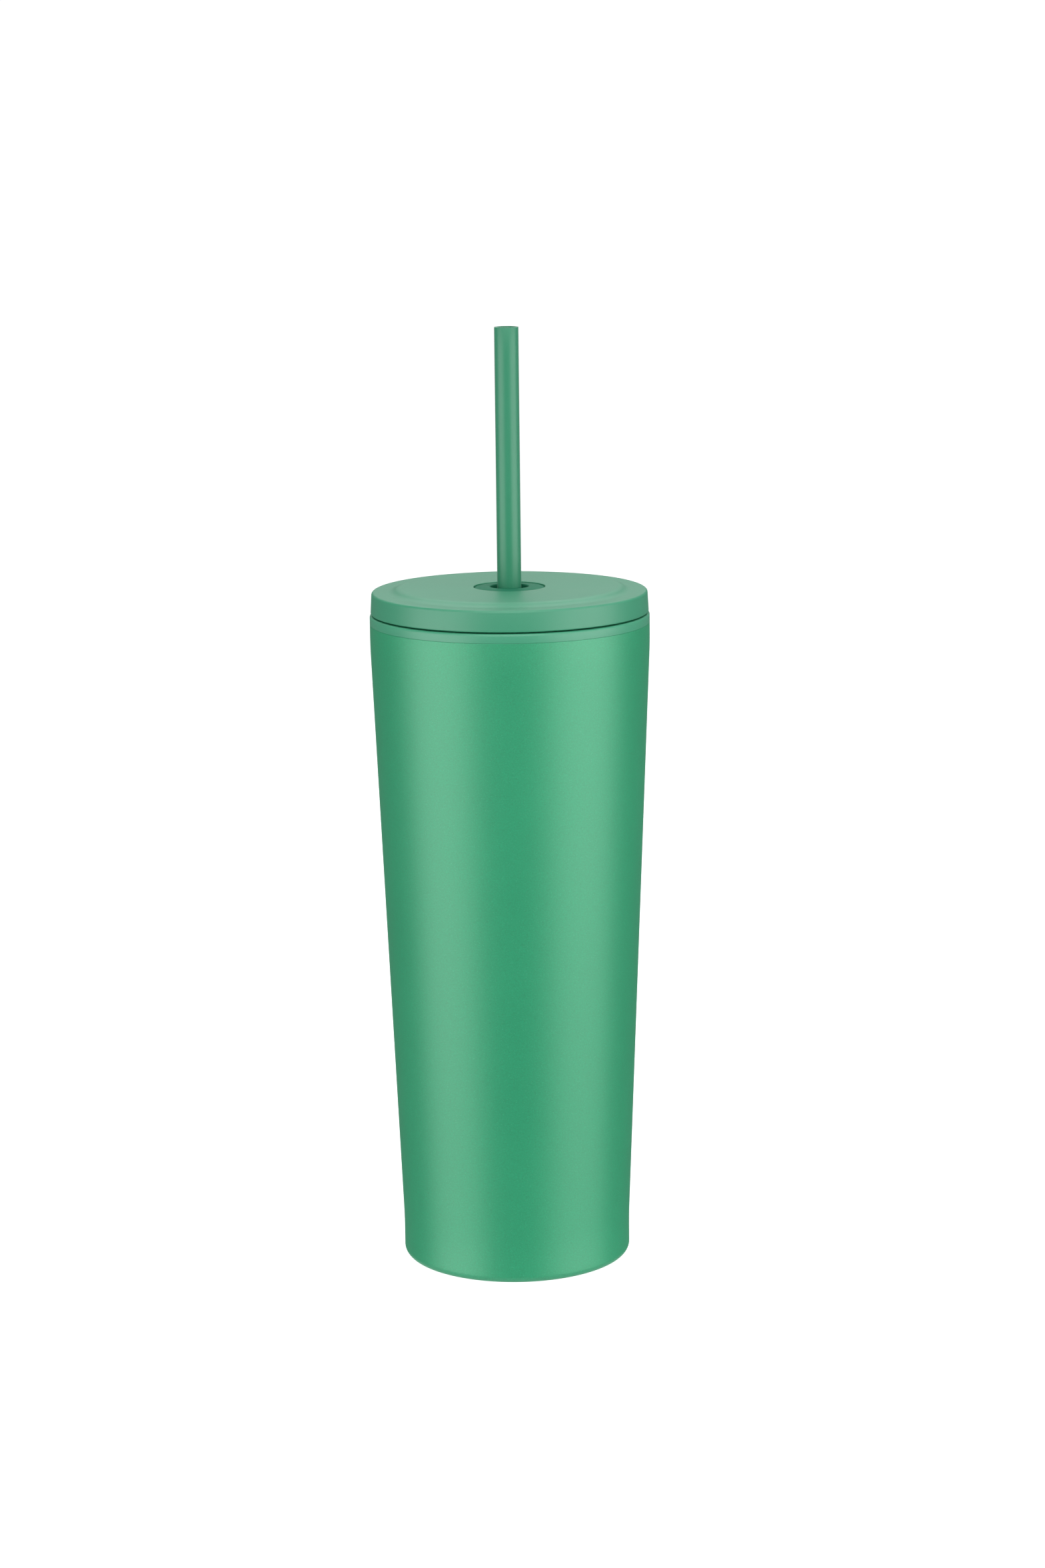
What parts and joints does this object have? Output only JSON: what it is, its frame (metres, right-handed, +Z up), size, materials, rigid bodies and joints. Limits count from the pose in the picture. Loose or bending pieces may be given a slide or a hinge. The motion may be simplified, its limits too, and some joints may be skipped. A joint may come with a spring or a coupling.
{
  "type": "insulated tumbler",
  "caption": "Tall tapered double-walled steel cup with a screw-on plastic lid, a soft grommet in its centre and a straight straw through it.",
  "frame": {"origin": "on the cup's axis, in the plane the cup stands on", "axes": "+Z up along the axis of the cup, lid and straw; +X to the right and +Y to the back, seen from the front; the part turns about Z, apart from the getter and the thread's start"},
  "size_m": [0.085, 0.085, 0.2879],
  "materials": {
    "outer_shell": "satin green paint with a fine metallic fleck, on stainless steel",
    "base_cup": "satin green paint with a fine metallic fleck, on stainless steel",
    "base_cover": "satin green paint, on stainless steel",
    "seal_bead": "dark solder glass",
    "getter": "dull pressed metal powder",
    "getter_clip": "bright spring steel",
    "inner_liner": "electropolished stainless steel with faint turning lines",
    "liner_foil": "bright foil",
    "neck_collar": "satin green polypropylene",
    "collar_seal": "translucent white silicone",
    "lid_gasket": "translucent white silicone",
    "lid_cover": "satin green plastic with a very fine texture",
    "lid_inner": "satin green plastic",
    "straw_grommet": "matte green silicone",
    "straw_tube": "satin green plastic, drawn along its length",
    "straw_stopper": "matte green silicone"
  },
  "bodies": {
    "cup": {"outer_shell": "outer_shell", "base_cup": "base_cup", "base_cover": "base_cover", "seal_bead": "seal_bead", "getter": "getter", "getter_clip": "getter_clip", "inner_liner": "inner_liner", "liner_foil": "liner_foil", "neck_collar": "neck_collar", "collar_seal": "collar_seal"},
    "gasket": {"lid_gasket": "lid_gasket"},
    "lid": {"lid_cover": "lid_cover", "lid_inner": "lid_inner"},
    "grommet": {"straw_grommet": "straw_grommet"},
    "straw": {"straw_tube": "straw_tube", "straw_stopper": "straw_stopper"}
  },
  "joints": [
    {"name": "lid_rise", "type": "slide", "parent": "cup", "child": "gasket", "axis": [0, 0, 1], "range_m": [0, 0.0061]},
    {"name": "lid_turn", "type": "hinge", "parent": "gasket", "child": "lid", "pos_m": [0, 0, 0.2067], "axis": [0, 0, 1], "range_deg": [0, 540]},
    {"name": "grommet_turn", "type": "hinge", "parent": "lid", "child": "grommet", "pos_m": [0, 0, 0.2067], "axis": [0, 0, 1], "continuous": true},
    {"name": "straw_slide", "type": "slide", "parent": "grommet", "child": "straw", "axis": [0, 0, 1], "range_m": [0, 0.159]}
  ],
  "couplings": [
    {"joint": "lid_rise", "follows": "lid_turn", "m_per_rad": 0.00063662}
  ]
}
